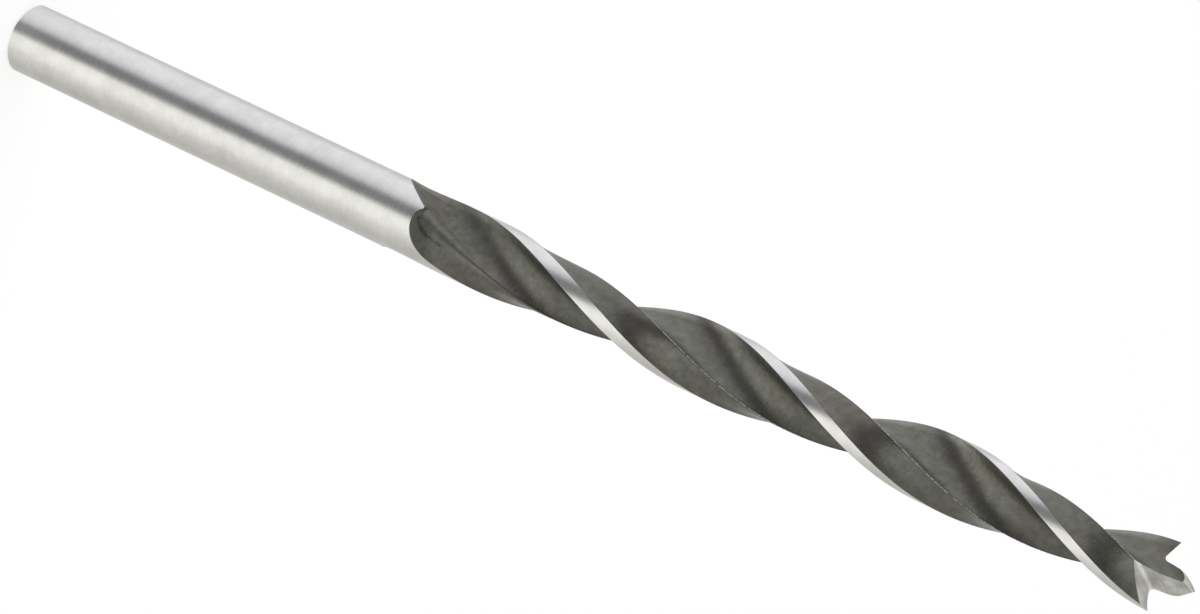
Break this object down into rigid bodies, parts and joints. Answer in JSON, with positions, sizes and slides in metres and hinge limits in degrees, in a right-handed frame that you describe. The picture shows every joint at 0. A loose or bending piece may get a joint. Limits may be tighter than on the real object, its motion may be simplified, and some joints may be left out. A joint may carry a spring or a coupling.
{
  "type": "brad point drill bit",
  "caption": "Brad point drill bit for wood: straight round shank, twisted flutes with ground margins, and a tip with a centre point and cutting spurs.",
  "frame": {"origin": "centre of the flat shank end", "axes": "+Z along the bit's axis from the shank end to the centre point; +X is the side that the picture shows uppermost"},
  "size_m": [0.004, 0.004, 0.075],
  "materials": {
    "tool_steel": "ground bright on shank, margins and tip; rolled dark grey in the flutes and on the land backs"
  },
  "bodies": {
    "root": {"drill_bit": "tool_steel"}
  },
  "joints": []
}
